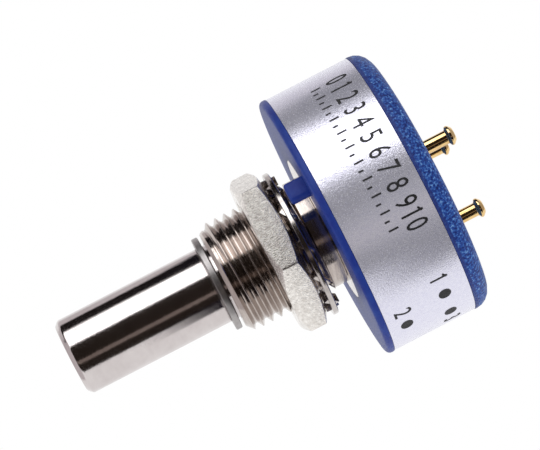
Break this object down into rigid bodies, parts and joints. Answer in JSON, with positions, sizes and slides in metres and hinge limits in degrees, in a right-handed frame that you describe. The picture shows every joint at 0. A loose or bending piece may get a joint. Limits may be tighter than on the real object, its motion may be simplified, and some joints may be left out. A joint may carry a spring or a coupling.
{
  "type": "rotary potentiometer",
  "caption": "Round single-turn panel potentiometer with a threaded bushing, hex nut, lock washer, plain round shaft, anti-rotation lug and turret solder terminals.",
  "frame": {"origin": "centre of the threaded bushing on the mounting face of the front housing", "axes": "+Z along the shaft, out through the panel; +Y through the anti-rotation lug; +X completes a right-handed frame"},
  "size_m": [0.0222, 0.0222, 0.0345],
  "materials": {
    "nickel_plated_brass": "bright nickel plate on turned brass",
    "plated_steel_nut": "barrelled nickel plate with a fine grain",
    "spring_steel": "plated spring steel",
    "dark_spring_steel": "dark oiled spring steel",
    "ground_steel": "ground and polished stainless steel",
    "blue_moulding": "smooth moulded thermoset",
    "rough_blue_moulding": "spark-textured moulded thermoset",
    "foil_label": "satin metallised foil with black print",
    "gold_plate": "polished gold plate on brass",
    "phenolic_board": "laminated phenolic",
    "conductive_plastic": "screened conductive plastic",
    "spring_bronze": "thin rolled spring bronze",
    "black_moulding": "moulded glass-filled plastic",
    "slip_plastic": "natural slip-grade plastic"
  },
  "bodies": {
    "housing": {"mounting_bushing": "nickel_plated_brass", "front_housing": "blue_moulding", "rear_cover": "rough_blue_moulding", "label_band": "foil_label", "terminal_1": "gold_plate", "terminal_2": "gold_plate", "terminal_3": "gold_plate", "element_disc": "phenolic_board", "resistive_track": "conductive_plastic", "collector_ring": "gold_plate", "contact_strap_1": "spring_bronze", "contact_strap_3": "spring_bronze", "end_eyelet_1": "gold_plate", "end_eyelet_3": "gold_plate"},
    "rotor": {"shaft": "ground_steel", "retaining_ring": "dark_spring_steel", "thrust_washer": "slip_plastic", "stop_washer": "spring_steel", "rotor_hub": "black_moulding", "wiper_carrier": "spring_bronze", "track_brush": "gold_plate", "collector_brush": "gold_plate", "tail_clip": "dark_spring_steel"},
    "fastening": {"mounting_nut": "plated_steel_nut", "lock_washer": "spring_steel"}
  },
  "joints": [
    {"name": "shaft_turn", "type": "hinge", "parent": "housing", "child": "rotor", "pos_m": [0, 0, 0], "axis": [0, 0, 1], "range_deg": [-169, 169]},
    {"name": "nut_travel", "type": "slide", "parent": "housing", "child": "fastening", "axis": [0, 0, 1], "range_m": [-0.0011, 0.0212]}
  ]
}
